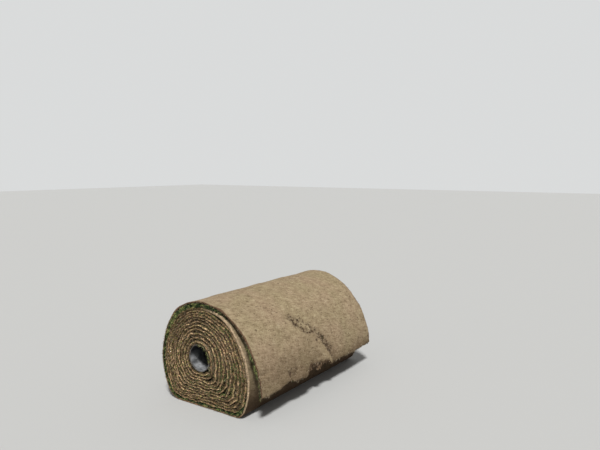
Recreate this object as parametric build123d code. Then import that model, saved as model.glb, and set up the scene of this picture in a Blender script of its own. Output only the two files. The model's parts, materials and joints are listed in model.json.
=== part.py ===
"""Big roll of turf on its core pipe, lying on the ground.

One long strip of turf is wound, grass side in, round a plastic pipe. The roll has sagged under its own
weight: it lies on a broad flat, its front foot is a tight corner, and its turns are thinner below the
pipe than beside it. The last turn has come loose on the front side. It hangs off the roll like a skirt,
with a piece torn out of its end.

Frame: +X along the roll, +Z up, the front (loose) side towards -Y. The origin is on the ground, below
the middle of the whole roll. Lengths are in millimetres.
"""

from math import atan2, ceil, cos, degrees, floor, hypot, radians, sin
import os

from build123d import *

# Strip of turf
turf_width = 1200.0  # across the strip, which is the length of the roll
turf_thickness = 25.0  # soil, thatch and grass of the loose end
wound_turns = 12  # crowns of the wound strip, counted outwards from the pipe
start_turn = 0.375  # where the strip starts: 0 is above the pipe, 0.25 in front, 0.5 below

# Core pipe
pipe_diameter = 160.0
pipe_wall = 5.0
pipe_recess = 8.0  # of each pipe end behind the end of the turf
pipe_clearance = 0.3  # between the pipe and the first turn

# Sagged section, seen along the roll
roll_height = 614.0
core_height = 280.0  # the pipe's axis above the ground
crown_forward = 25.0  # highest place, in front of the pipe's axis
front_reach = 372.0  # of the tight turns, from the pipe's axis
front_waist = 179.0  # height of the widest place in front
back_reach = 301.0
back_waist = 244.0
flat_front = 271.0  # reach of the flat on the ground, in front of the pipe's axis
flat_back = 156.0

# Loose end of the last turn
skirt_shoulder_back = 58.0  # of the widest place in front
skirt_shoulder_drop = 124.0  # below the crown
skirt_gap = 65.0  # between its edge and the widest place
skirt_drop = 32.0  # of its edge below the widest place
skirt_lap = 6.0  # of its inner face into the tight turns, above its root

# Piece torn out of the skirt's edge
tear_start = 430.0  # from the near end of the roll
tear_length = 260.0
tear_near_height = 55.0
tear_far_height = 20.0
tear_slope = 38.0  # run of the tear's sides along the roll
tear_round = 14.0

# Gaps between the turns, as the ends show them
gap_width = 4.0
gap_depth = 22.0
gap_overrun = 0.06  # share of a quarter turn that it runs on where the skirt has left the roll
start_wedge = 35.0  # degrees of the hollow beside the strip's first edge

seat_radius = pipe_diameter / 2 + pipe_clearance
near_end = -turf_width / 2
skirt_reach = front_reach + skirt_gap + turf_thickness
axis_y = (skirt_reach - back_reach) / 2  # brings the middle of the roll over the origin

# Turns at which the roll shows its outer face
shown_crown = wound_turns
shown_back = wound_turns - 0.25
shown_foot = wound_turns - 0.5
shown_front = wound_turns - 0.75


def share(turn, shown):
    """Layers of turf wound by this turn, as a share of those wound where the outer face shows."""
    return (turn - start_turn + 1) / (shown - start_turn + 1)


def reach(outer_reach, turn, shown):
    """Reach of this turn from the pipe's axis, in step with the reach that shows outside."""
    return seat_radius + (outer_reach - seat_radius) * share(turn, shown)


def crown(turn, inset=0.0):
    height = core_height + reach(roll_height - core_height, turn, shown_crown)
    return Vector(-crown_forward * share(turn, shown_crown), height - inset)


def front(turn, inset=0.0):
    height = core_height + (front_waist - core_height) * share(turn, shown_front)
    return Vector(-reach(front_reach, turn, shown_front) + inset, height)


def back(turn, inset=0.0):
    height = core_height + (back_waist - core_height) * share(turn, shown_back)
    return Vector(reach(back_reach, turn, shown_back) - inset, height)


def foot(turn, inset=0.0):
    """Front end and back end of the turn's flat."""
    height = core_height - reach(core_height, turn, shown_foot) + inset
    width = share(turn, shown_foot)
    return Vector(-flat_front * width, height), Vector(flat_back * width, height)


def quarter(number, inset=0.0, first=0.0, last=1.0):
    """Quarter of a turn, or its stretch between two shares of its 90 degrees. Four quarters make a turn:
    crown to front, front to foot, foot to back and back to crown. Each is a quarter oval of two arcs,
    one where the strip runs upright and one where it runs level."""
    start, end = number / 4, (number + 1) / 4
    upright, level = (
        (front(end, inset), crown(start, inset)),
        (front(start, inset), foot(end, inset)[0]),
        (back(end, inset), foot(start, inset)[1]),
        (back(start, inset), crown(end, inset)),
    )[number % 4]
    middle = Vector(level.X, upright.Y)
    wide, high = (upright - middle).length, (level - middle).length
    slant = hypot(wide, high)
    upright_radius = slant * (slant - wide + high) / (2 * wide)
    level_radius = slant * (slant + wide - high) / (2 * high)
    upright_centre = middle + (upright - middle) * (1 - upright_radius / wide)
    level_centre = middle + (level - middle) * (1 - level_radius / high)
    upright_sweep = degrees(atan2(wide, high))
    arcs = [
        (upright_centre, upright_radius, upright_sweep),
        (level_centre, level_radius, 90 - upright_sweep),
    ]
    if number % 2 == 0:
        arcs.reverse()
    edges = []
    turned = 0
    for centre, radius, sweep in arcs:
        begin, stop = max(turned, 90 * first), min(turned + sweep, 90 * last)
        if stop > begin:
            edges.append(CenterArc(centre, radius, 90 + 90 * (number % 4) + begin, stop - begin))
        turned += sweep
    return edges


def spiral(first_quarter, last_quarter, inset=0.0):
    """Edges that follow the strip's outer face, or run beside it, with the flat of each turn."""
    edges = []
    for number in range(floor(first_quarter), ceil(last_quarter)):
        if number % 4 == 2:
            edges.append(Line(*foot(number / 4, inset)))
        first = max(first_quarter - number, 0)
        last = min(last_quarter - number, 1)
        edges.extend(quarter(number, inset, first, last))
    return edges


def wound_section():
    """Tight turns, up to the last crown, without the bore."""
    last_turn = spiral(4 * wound_turns - 4, 4 * wound_turns)
    return make_face(last_turn + [Line(last_turn[-1] @ 1, last_turn[0] @ 0)])


def inward(along):
    """Across the strip, towards the pipe, where its face runs this way."""
    return Vector(-along.Y, along.X)


def skirt_outside():
    """Outer face of the loose end: an arc from the crown to its shoulder and one to its edge."""
    shoulder = Vector(skirt_shoulder_back - front_reach, roll_height - skirt_shoulder_drop)
    edge = Vector(-skirt_reach, front_waist - skirt_drop)
    upper = TangentArc(crown(wound_turns), shoulder, tangent=(-1, 0))
    return upper, TangentArc(shoulder, edge, tangent=upper % 1)


def skirt_inside():
    """Inner face of the loose end. It starts within the tight turns and comes out of them."""
    outer_upper, outer_lower = skirt_outside()
    start = crown(wound_turns - 1, skirt_lap)
    shoulder = outer_upper @ 1 + inward(outer_upper % 1) * turf_thickness
    edge = outer_lower @ 1 + inward(outer_lower % 1) * turf_thickness
    upper = TangentArc(start, shoulder, tangent=(-1, 0))
    return upper, TangentArc(shoulder, edge, tangent=upper % 1)


def skirt_section():
    """Loose end of the strip, which is one with the tight turns from the crown to its root."""
    outside, inside = skirt_outside(), skirt_inside()
    behind_crown = inside[0] @ 0 + Vector(skirt_lap, 0)
    ends = [
        Line(outside[1] @ 1, inside[1] @ 1),
        Line(inside[0] @ 0, behind_crown),
        Line(behind_crown, outside[0] @ 0),
    ]
    return make_face([*outside, *inside, *ends])


def root_share():
    """Place where the skirt leaves the roll, as a share of the quarter from the crown to the front."""
    covered, inner_face = quarter(4 * wound_turns - 4)[0], skirt_inside()[0]
    root = covered.intersect(inner_face)[0].center()
    along = covered % covered.param_at_point(root)
    return along.get_angle(Vector(-1, 0)) / 90


def gap_section():
    """Gap between the turns, from the hollow beside the strip's first edge to the skirt's root."""
    first = 4 * start_turn
    last = 4 * wound_turns - 4 + root_share() + gap_overrun
    outside = spiral(first, last, -gap_width / 2)
    inside = spiral(first, last, gap_width / 2)
    start_angle = radians(90 + 360 * start_turn)
    wedge_angle = start_angle - radians(start_wedge)
    axis = Vector(0, core_height)
    first_edge = axis + Vector(cos(start_angle), sin(start_angle)) * seat_radius
    wedge_end = axis + Vector(cos(wedge_angle), sin(wedge_angle)) * seat_radius
    ends = [
        Line(inside[0] @ 0, first_edge),
        Line(first_edge, wedge_end),
        Line(wedge_end, outside[0] @ 0),
        Line(outside[-1] @ 1, inside[-1] @ 1),
    ]
    return make_face(outside + inside + ends)


def across(x):
    """Plane of a section, below the pipe's axis on the ground."""
    return Plane((x, axis_y, 0), x_dir=(0, 1, 0), z_dir=(1, 0, 0))


def bore():
    """Hole for the pipe, right through the roll."""
    place = Location((near_end, axis_y, core_height), (0, 90, 0))
    return place * Cylinder(
        seat_radius, turf_width, align=(Align.CENTER, Align.CENTER, Align.MIN)
    )


def torn_piece():
    """Block that takes the torn piece out of the skirt and stays clear of the tight turns."""
    edge = front_waist - skirt_drop
    near_x, far_x = near_end + tear_start, near_end + tear_start + tear_length
    outline = make_face(
        Polyline(
            (near_x, edge - turf_thickness),
            (near_x + tear_slope, edge + tear_near_height),
            (far_x - tear_slope, edge + tear_far_height),
            (far_x, edge - turf_thickness),
            close=True,
        )
    )
    outline = fillet(outline.vertices().sort_by(Axis.Y)[-2:], tear_round)
    clear = front_reach + skirt_gap / 2 - axis_y
    return extrude(Plane.XZ.offset(clear) * outline, skirt_gap + turf_thickness)


def turf_roll():
    turns = extrude(across(near_end) * wound_section(), turf_width)
    skirt = extrude(across(near_end) * skirt_section(), turf_width)
    near_gap = extrude(across(near_end) * gap_section(), gap_depth)
    far_gap = extrude(across(-near_end) * gap_section(), -gap_depth)
    return turns + skirt - torn_piece() - bore() - near_gap - far_gap


def core_pipe():
    radius = pipe_diameter / 2
    ring = Circle(radius) - Circle(radius - pipe_wall)
    start = across(near_end + pipe_recess) * Pos(0, core_height)
    return extrude(start * ring, turf_width - 2 * pipe_recess)


os.makedirs("parts", exist_ok=True)
export_step(turf_roll(), "parts/turf_roll.step")
export_step(core_pipe(), "parts/core_pipe.step")
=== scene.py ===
"""Visual model of a big roll of turf on its core pipe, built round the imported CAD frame.

The strip is wound grass side in. Its tight turns, the turn that the skirt covers, its last turn with
the torn loose end, the grass, the root fibres and the loose soil are pieces of their own. The core pipe
is the CAD solid with a finish.

Lengths are in metres, in the frame of the CAD part: +X along the roll, +Z up, the loose side towards
-Y. The near end is the one towards -X.
"""

import json
from math import atan2, ceil, degrees, floor, hypot, pi, radians

import bpy
import numpy as np
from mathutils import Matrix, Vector

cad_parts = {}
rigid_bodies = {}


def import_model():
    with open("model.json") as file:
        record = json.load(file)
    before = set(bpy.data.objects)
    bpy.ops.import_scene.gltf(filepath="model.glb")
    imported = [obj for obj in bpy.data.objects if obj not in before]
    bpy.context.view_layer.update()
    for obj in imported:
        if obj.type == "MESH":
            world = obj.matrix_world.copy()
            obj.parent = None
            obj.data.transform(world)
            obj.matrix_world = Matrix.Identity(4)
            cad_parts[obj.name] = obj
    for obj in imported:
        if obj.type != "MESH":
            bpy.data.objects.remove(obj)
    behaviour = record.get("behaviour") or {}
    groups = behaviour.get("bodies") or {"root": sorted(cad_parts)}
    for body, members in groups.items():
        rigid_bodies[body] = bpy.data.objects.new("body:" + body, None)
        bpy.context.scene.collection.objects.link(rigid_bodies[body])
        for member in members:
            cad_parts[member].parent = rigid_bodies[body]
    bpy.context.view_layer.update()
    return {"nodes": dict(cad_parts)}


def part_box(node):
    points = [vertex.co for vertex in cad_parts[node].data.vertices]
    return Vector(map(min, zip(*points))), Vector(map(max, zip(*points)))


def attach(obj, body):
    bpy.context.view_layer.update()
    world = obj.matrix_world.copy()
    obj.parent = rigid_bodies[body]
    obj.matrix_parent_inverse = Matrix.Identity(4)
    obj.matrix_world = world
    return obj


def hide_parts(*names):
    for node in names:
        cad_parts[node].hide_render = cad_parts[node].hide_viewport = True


bl_info = {
    "name": "Roll of Turf",
    "version": (1, 0, 0),
    "blender": (4, 5, 0),
    "location": "3D View > Sidebar > Turf",
    "description": "Builds a wound roll of turf with its grass, fibres and loose end",
    "category": "Object",
}

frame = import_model()
ROLL_LOW, ROLL_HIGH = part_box("turf_roll")
NEAR_END, FAR_END = ROLL_LOW[0], ROLL_HIGH[0]

DOWN = np.array([0, 0, -1.0])
ALONG_ROLL = np.array([1.0, 0, 0])
END_ROUNDING = 0.0022  # of the strip's corners, on both ends of the roll

# Line of the crack, from the crown to the edge: distance from the near end and height
CRACK_LINE = np.array(
    [
        (0.120, 0.592),
        (0.299, 0.548),
        (0.452, 0.462),
        (0.510, 0.412),
        (0.593, 0.366),
        (0.625, 0.300),
        (0.671, 0.220),
        (0.690, 0.166),
    ]
)
PIT_PATCH = (0.291, 0.209)  # small pitted patch beside the tear, given the same way
KINK_HEIGHT = 0.262  # of the short crease across the skirt's near side

# Line of the loose edge: distance from the near end and what the skirt is longer there
EDGE_LINE = np.array(
    [
        (0.0, 0.0),
        (0.03, 0.005),
        (0.17, 0.005),
        (0.20, -0.007),
        (0.24, -0.018),
        (0.275, -0.018),
        (0.31, -0.004),
        (0.40, 0.004),
        (0.44, 0.005),
        (1.2, 0.0),
    ]
)


# Settings


def millimetres(name, description, default):
    """Length property, whose default is given in millimetres."""
    return bpy.props.FloatProperty(
        name=name, description=description, default=default / 1000, unit="LENGTH"
    )


def scalar(name, description, default):
    return bpy.props.FloatProperty(name=name, description=description, default=default)


def amount(name, description, default):
    return bpy.props.IntProperty(name=name, description=description, default=default, min=1)


def colour(name, description, default):
    return bpy.props.FloatVectorProperty(
        name=name, description=description, default=default, subtype="COLOR", min=0, max=1
    )


class TurfSectionSettings(bpy.types.PropertyGroup):
    """Sagged section of the roll, as its CAD source has it."""

    wound_turns: amount("Turns", "Crowns of the wound strip", 12)
    start_turn: scalar("Start", "Place of the strip's first edge, as a share of a turn", 0.375)
    seat: millimetres("Bore", "Radius of the turf's bore, round the core pipe", 80.3)
    roll_height: millimetres("Height", "Height of the crown", 614)
    core_height: millimetres("Core height", "Height of the pipe's axis", 280)
    crown_forward: millimetres("Crown forward", "Place of the crown, in front of the axis", 25)
    front_reach: millimetres("Front reach", "Reach of the tight turns in front", 372)
    front_waist: millimetres("Front waist", "Height of the widest place in front", 179)
    back_reach: millimetres("Back reach", "Reach of the roll behind", 301)
    back_waist: millimetres("Back waist", "Height of the widest place behind", 244)
    flat_front: millimetres("Flat in front", "Reach of the flat in front of the axis", 271)
    flat_back: millimetres("Flat behind", "Reach of the flat behind the axis", 156)
    shoulder_back: millimetres("Shoulder", "Shoulder of the skirt, behind the front reach", 58)
    shoulder_drop: millimetres("Shoulder drop", "Shoulder of the skirt, below the crown", 124)
    skirt_gap: millimetres("Skirt gap", "Gap between the skirt's edge and the roll", 65)
    skirt_drop: millimetres("Skirt drop", "Edge of the skirt, below the front waist", 32)
    skirt_thickness: millimetres("Skirt thickness", "Thickness of the loose turf with its grass", 25)


class TurfStripSettings(bpy.types.PropertyGroup):
    """Strip of turf: its soil, its relief and its torn edge."""

    sod: millimetres("Sod", "Thickness of the last turn without its grass", 9.5)
    sod_share: scalar("Sod share", "Sod of the tight turns, as a share of their thickness", 0.90)
    grass_room: millimetres("Grass room", "Widening of the last gap for its grass", 7)
    turn_step: millimetres("Turn mesh", "Length of a face along the tight turns", 5.2)
    mat_step: millimetres("Mat mesh", "Size of a face on the outer mat", 6.6)
    relief: millimetres("Relief", "Lumps of the outer mat", 1.6)
    swell: millimetres("Swell", "Broad waves of the outer mat", 6)
    tear_start: millimetres("Tear start", "Distance of the tear from the near end", 430)
    tear_length: millimetres("Tear length", "Length of the tear along the roll", 260)
    tear_slope: millimetres("Tear slope", "Run of the tear's sides", 38)
    tear_near: millimetres("Tear near height", "Height of the tear at its near side", 68)
    tear_far: millimetres("Tear far height", "Height of the tear at its far side", 22)
    ragged: millimetres("Ragged edge", "Unevenness of the loose edge", 7)


class TurfGrowthSettings(bpy.types.PropertyGroup):
    """How much grows on the strip and hangs loose on it."""

    ring_blades: amount("Ring blades", "Most blades in the last gap, at each end", 4700)
    sod_blades: amount("Sod blades", "Most blades between the tight turns, at each end", 2900)
    bore_blades: amount("Bore blades", "Blades that hang over the bore, at each end", 120)
    skirt_blades: amount("Skirt blades", "Blades on the skirt's inner face", 4600)
    edge_blades: amount("Edge blades", "Those of the skirt's blades that grow along its edge", 3300)
    thatch: amount("Thatch", "Short stems on the cut turns, at each end", 8600)
    fibres: amount("Fibres", "Root fibres on the outer mat", 12000)
    tuft_fibres: amount("Tuft", "Those of the fibres that hang from the edge in one tuft", 26)
    crumbs: amount("Crumbs", "Most crumbs of loose soil", 1500)


class TurfFinishSettings(bpy.types.PropertyGroup):
    """Colours of the roll."""

    mat_light: colour("Light fibre", "Dry fibres of the outer mat", (0.400, 0.311, 0.196))
    mat_middle: colour("Mat", "Outer mat", (0.268, 0.199, 0.119))
    mat_dark: colour("Mat hollows", "Hollows between the fibres", (0.105, 0.072, 0.040))
    soil: colour("Soil", "Torn soil", (0.040, 0.025, 0.016))
    rind: colour("Rind", "Thin reddish line of soil along the cut ends", (0.27, 0.165, 0.098))
    # Holds painted highlight: it colours the raised crests of the cut ends.
    ridge: colour("Cut sod", "Cut edge of the sod", (0.46, 0.342, 0.222))
    grass_dark: colour("Dark grass", "Shaded blades", (0.010, 0.028, 0.009))
    grass_green: colour("Green grass", "Fresh blades", (0.055, 0.120, 0.027))
    grass_light: colour("Light grass", "Yellow-green blades", (0.50, 0.54, 0.17))
    grass_dry: colour("Dry grass", "Withered blades", (0.68, 0.58, 0.33))
    pipe: colour("Pipe", "Dusty plastic of the core pipe", (0.24, 0.245, 0.25))


class TurfStageSettings(bpy.types.PropertyGroup):
    """Camera, floor and light."""

    camera_place: bpy.props.FloatVectorProperty(
        name="Camera",
        description="Place of the camera",
        default=(-2.889, -2.2085, 1.366),
        subtype="XYZ",
    )
    camera_turn: bpy.props.FloatVectorProperty(
        name="Camera turn",
        description="Direction of the camera",
        default=(radians(84.24), 0, radians(-55.31)),
        subtype="EULER",
    )
    lens: scalar("Lens", "Focal length in millimetres", 34.5)
    sun: scalar("Key light", "Strength of the soft key light", 3.1)
    sky: scalar("Fill light", "Strength of the even light", 0.29)
    floor: colour("Floor", "Plain pale floor", (0.56, 0.56, 0.545))
    backdrop: colour("Backdrop", "Plain pale background", (0.70, 0.71, 0.71))


# Numbers


def noise(u, v, cell_u, cell_v, seed):
    """Smooth random field between -1 and 1 over two coordinates, with a cell size for each."""
    period = 257
    lattice = np.random.default_rng(seed).uniform(-1, 1, (period, period))
    a, b = np.asarray(u) / cell_u, np.asarray(v) / cell_v
    i, j = np.floor(a).astype(int), np.floor(b).astype(int)
    p, q = a - i, b - j
    p, q = p * p * (3 - 2 * p), q * q * (3 - 2 * q)
    i, j, next_i, next_j = i % period, j % period, (i + 1) % period, (j + 1) % period
    low = lattice[i, j] * (1 - p) + lattice[next_i, j] * p
    high = lattice[i, next_j] * (1 - p) + lattice[next_i, next_j] * p
    return low * (1 - q) + high * q


def noises(u, v, *layers):
    """Sum of random fields, each given as its height, its two cell sizes and its seed."""
    return sum(height * noise(u, v, *field) for height, *field in layers)


def line_noise(u, cell, seed):
    """Smooth random line between -1 and 1."""
    return noise(u, 0 * u, cell, 1, seed)


def ramp(value, low, high):
    """Smooth step from 0 at low to 1 at high."""
    t = np.clip((np.asarray(value, float) - low) / (high - low), 0, 1)
    return t * t * (3 - 2 * t)


def bell(value, width):
    """Bell curve with 1 at its top."""
    return np.exp(-((value / width) ** 2))


def unit(vectors):
    return vectors / np.maximum(np.linalg.norm(vectors, axis=-1, keepdims=True), 1e-9)


def scaled(vectors, amounts):
    return vectors * amounts[:, None]


# Line of the strip


class Winding:
    """Line of the strip's outer face, seen along the roll. Places are (y from the pipe's axis, z)."""

    skirt_shoulder = 0.1  # turns that its shoulder and its edge count beyond the last crown
    skirt_edge = 0.25

    def __init__(self, scene):
        self.size, self.strip, self.growth = scene.turf_section, scene.turf_strip, scene.turf_growth
        s = self.size
        self.last_turn = s.wound_turns
        self.shown = {  # turn at which the roll shows its outer face
            "crown": s.wound_turns,
            "back": s.wound_turns - 0.25,
            "foot": s.wound_turns - 0.5,
            "front": s.wound_turns - 0.75,
        }
        self.outer = {  # reach of that face from the pipe's axis
            "crown": s.roll_height - s.core_height,
            "back": s.back_reach,
            "foot": s.core_height,
            "front": s.front_reach,
        }
        self.skirt_reach = s.front_reach + s.skirt_gap + s.skirt_thickness
        self.axis_y = (self.skirt_reach - s.back_reach) / 2
        self.place, self.normal, self.turn = self.trace()
        steps = np.hypot(*np.diff(self.place, axis=0).T)
        self.length = np.concatenate([[0], np.cumsum(steps)])
        self.root = float(np.interp(self.last_turn, self.turn, self.length))
        self.end = float(self.length[-2])

    def share(self, turn, side):
        """Layers wound by this turn, as a share of those wound where the outer face shows."""
        start = self.size.start_turn
        return (turn - start + 1) / (self.shown[side] - start + 1)

    def reach(self, turn, side):
        seat = self.size.seat
        return seat + (self.outer[side] - seat) * self.share(turn, side)

    def crown(self, turn):
        s = self.size
        forward = s.crown_forward * self.share(turn, "crown")
        return np.array([-forward, s.core_height + self.reach(turn, "crown")])

    def front(self, turn):
        s = self.size
        height = s.core_height + (s.front_waist - s.core_height) * self.share(turn, "front")
        return np.array([-self.reach(turn, "front"), height])

    def back(self, turn):
        s = self.size
        height = s.core_height + (s.back_waist - s.core_height) * self.share(turn, "back")
        return np.array([self.reach(turn, "back"), height])

    def foot(self, turn):
        """Front end and back end of the turn's flat."""
        s = self.size
        height = s.core_height - self.reach(turn, "foot")
        width = self.share(turn, "foot")
        return np.array([-s.flat_front * width, height]), np.array([s.flat_back * width, height])

    def quarter(self, number):
        """Places, normals and turns along a quarter of a turn, which is a quarter oval of two arcs."""
        start, end = number / 4, (number + 1) / 4
        upright, level = (
            (self.front(end), self.crown(start)),
            (self.front(start), self.foot(end)[0]),
            (self.back(end), self.foot(start)[1]),
            (self.back(start), self.crown(end)),
        )[number % 4]
        middle = np.array([level[0], upright[1]])
        wide, high = hypot(*(upright - middle)), hypot(*(level - middle))
        slant = hypot(wide, high)
        upright_radius = slant * (slant - wide + high) / (2 * wide)
        level_radius = slant * (slant + wide - high) / (2 * high)
        upright_centre = middle + (upright - middle) * (1 - upright_radius / wide)
        level_centre = middle + (level - middle) * (1 - level_radius / high)
        upright_sweep = degrees(atan2(wide, high))
        arcs = [
            (upright_centre, upright_radius, upright_sweep),
            (level_centre, level_radius, 90 - upright_sweep),
        ]
        if number % 2 == 0:
            arcs.reverse()
        turned, parts = 0, []
        for centre, radius, sweep in arcs:
            steps = max(3, ceil(sweep / 1.5))
            swept = turned + np.linspace(0, sweep, steps + 1)
            angle = np.radians(90 + 90 * (number % 4) + swept)
            normal = np.stack([np.cos(angle), np.sin(angle)], axis=1)
            parts.append((centre + radius * normal, normal, (number + swept / 90) / 4))
            turned += sweep
        return self.joined(parts)

    def joined(self, parts):
        return tuple(np.concatenate([part[k] for part in parts]) for k in range(3))

    def loose_arc(self, start, heading, end, turns):
        """Arc that leaves a place with this heading and reaches the end, and its last heading."""
        chord = end - start
        inward = np.array([-heading[1], heading[0]])
        centre = start + inward * (chord @ chord) / (2 * (chord @ inward))
        sweep = 2 * atan2(chord @ inward, chord @ heading)
        steps = 41
        swept = np.linspace(0, sweep, steps)
        cosine, sine = np.cos(swept), np.sin(swept)

        def rotated(vector):
            y, z = vector
            return np.stack([y * cosine - z * sine, y * sine + z * cosine], axis=1)

        arc = centre + rotated(start - centre), -rotated(inward), np.linspace(*turns, steps)
        return arc, rotated(heading)[-1]

    def trace(self):
        """Whole line, from the strip's first edge round the pipe to a little beyond the loose edge."""
        s, flat_steps, beyond = self.size, 30, 0.03
        parts = []
        for number in range(floor(4 * s.start_turn), 4 * self.last_turn):
            if number % 4 == 2:
                ends = self.foot(number / 4)
                along = np.linspace(0, 1, flat_steps)[:, None]
                flat = ends[0] * (1 - along) + ends[1] * along
                downward = np.tile([0.0, -1.0], (flat_steps, 1))
                parts.append((flat, downward, np.full(flat_steps, number / 4)))
            parts.append(self.quarter(number))
        last, shoulder_turn = self.last_turn, self.last_turn + self.skirt_shoulder
        edge_turn = last + self.skirt_edge
        shoulder = np.array([s.shoulder_back - s.front_reach, s.roll_height - s.shoulder_drop])
        edge = np.array([-self.skirt_reach, s.front_waist - s.skirt_drop])
        start, level = self.crown(last), np.array([-1.0, 0.0])
        upper, heading = self.loose_arc(start, level, shoulder, (last, shoulder_turn))
        lower, heading = self.loose_arc(shoulder, heading, edge, (shoulder_turn, edge_turn))
        parts += [upper, lower]
        parts.append(((edge + heading * beyond)[None], lower[1][-1:], np.array([edge_turn + 0.01])))
        place, normal, turn = self.joined(parts)
        kept = turn >= s.start_turn
        place, normal, turn = place[kept], normal[kept], turn[kept]
        fresh = np.concatenate([[True], np.hypot(*np.diff(place, axis=0).T) > 1e-6])
        return place[fresh], normal[fresh], turn[fresh]

    def at(self, length):
        """Place, outward normal and turn at lengths along the strip."""
        place, normal = (
            np.stack([np.interp(length, self.length, line[:, k]) for k in (0, 1)], axis=-1)
            for line in (self.place, self.normal)
        )
        normal /= np.linalg.norm(normal, axis=-1, keepdims=True)
        return place, normal, np.interp(length, self.length, self.turn)

    def length_at(self, turn):
        """Length where the strip first comes to this turn, which is the front end of a flat."""
        return float(self.length[np.argmax(self.turn >= turn - 1e-9)])

    def skirt_length(self, height):
        """Length along the strip where the skirt passes this height."""
        skirt = self.length >= self.root
        heights, lengths = self.place[skirt, 1], self.length[skirt]
        return np.interp(-np.asarray(height), -heights, lengths)

    def in_frame(self, across, place):
        """Places of the section at these distances along the roll, in the frame of the part."""
        return np.stack([across, place[..., 0] + self.axis_y, place[..., 1]], axis=-1)

    def layer(self, normal):
        """Thickness of a turn with its grass, by the direction that its outer face looks in."""
        s = self.size
        step = {
            side: (outer - s.seat) / (self.shown[side] - s.start_turn + 1)
            for side, outer in self.outer.items()
        }
        upright = np.where(normal[..., 0] < 0, step["front"], step["back"])
        level = np.where(normal[..., 1] < 0, step["foot"], step["crown"])
        return normal[..., 0] ** 2 * upright + normal[..., 1] ** 2 * level

    def room(self, normal):
        """Widening of the gap inside the last turn: wide above and behind, narrow below. In front
        the tight turns press outwards instead."""
        above, front = ramp(normal[..., 1], 0.0, 0.75), ramp(-normal[..., 0], 0.35, 0.85)
        behind = ramp(normal[..., 0], 0.3, 0.9) * (1 - above)
        return self.strip.grass_room * ((0.5 + 1.7 * above + 1.1 * behind) * (1 - front) - front)

    def tight(self, length):
        """Outer face of the tight turns: place, normal, turn and thickness with grass.

        The first turns hug the pipe and climb over the strip's first edge. Neighbours wander
        together."""
        place, normal, turn = self.at(length)
        layer = self.layer(normal)
        wound = turn - self.size.start_turn
        lap, passed, climb = np.floor(wound), wound - np.floor(wound), 0.90
        hug = np.interp(lap, [0, 1, 2, 3, 4], [1.0, 0.62, 0.32, 0.12, 0.0])
        hug = hug * np.where(passed < climb, passed, climb * (1 - ramp(passed, climb, 1.0)))
        room = self.room(normal)
        first, last = 5.0, 11.2  # turns between which the room for the grass is taken
        place = place - scaled(normal, hug * layer + room * ramp(turn, first, last))
        squeezed = np.clip((turn - first) / (last - first), 0, 1)
        layer = layer - room * 6 * squeezed * (1 - squeezed) / (last - first)
        y, z = place[..., 0], place[..., 1]
        hold = ramp(turn, 1.2, 2.6) * (1 - ramp(turn, 10.4, 11.3))
        hold = hold * (1 + 0.6 * ramp(-z, -0.24, -0.12))
        wander = [
            noises(y, z, (0.0042, 0.058, 0.058, seed), (0.0030, 0.023, 0.023, seed + 1))
            for seed in (11, 13)
        ]
        place = place + np.stack([shift * hold for shift in wander], axis=-1)
        own = noises(length, turn, (0.0021, 0.014, 0.5, 15), (0.0015, 0.030, 0.5, 16))
        place = place + scaled(normal, own * ramp(turn, 0.6, 1.4))
        return place, normal, turn, layer


# Meshes


def deselect_all():
    for piece in bpy.context.scene.objects:
        piece.select_set(False)


def declared(piece, material):
    """Attaches a piece of turf to the root body, hides the CAD turf roll and gives the piece its
    material.
    """
    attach(piece, "root")
    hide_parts("turf_roll")
    piece.data.materials.clear()
    piece.data.materials.append(material)
    return piece


def mark(mesh, name, values):
    """Point attribute that materials read."""
    attribute = mesh.attributes.new(name, "FLOAT", "POINT")
    attribute.data.foreach_set("value", np.asarray(values, np.float32).ravel())


def ring_of(near, far, outer_columns, inner_columns, cap):
    """Ring round the strip's section: x, depth (0 outer face, 1 inner face) and a cut-face mark.

    It starts at the near end of the outer face and comes back to it, with cap points at both ends."""
    outer = np.concatenate([[near + END_ROUNDING], outer_columns, [far - END_ROUNDING]])
    inner = np.concatenate([[far - END_ROUNDING], inner_columns[::-1], [near + END_ROUNDING]])
    steps = np.linspace(0, 1, cap + 2)[1:-1]
    x = np.concatenate([outer, np.full(cap, far), inner, np.full(cap, near), outer[:1]])
    depth = np.concatenate([np.zeros(len(outer)), steps, np.ones(len(inner)), steps[::-1], [0]])
    cut = np.zeros(len(x))
    for place in (near, far):
        cut[np.abs(x - place) < END_ROUNDING * 1.01] = 1
    return x, depth, cut


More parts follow.
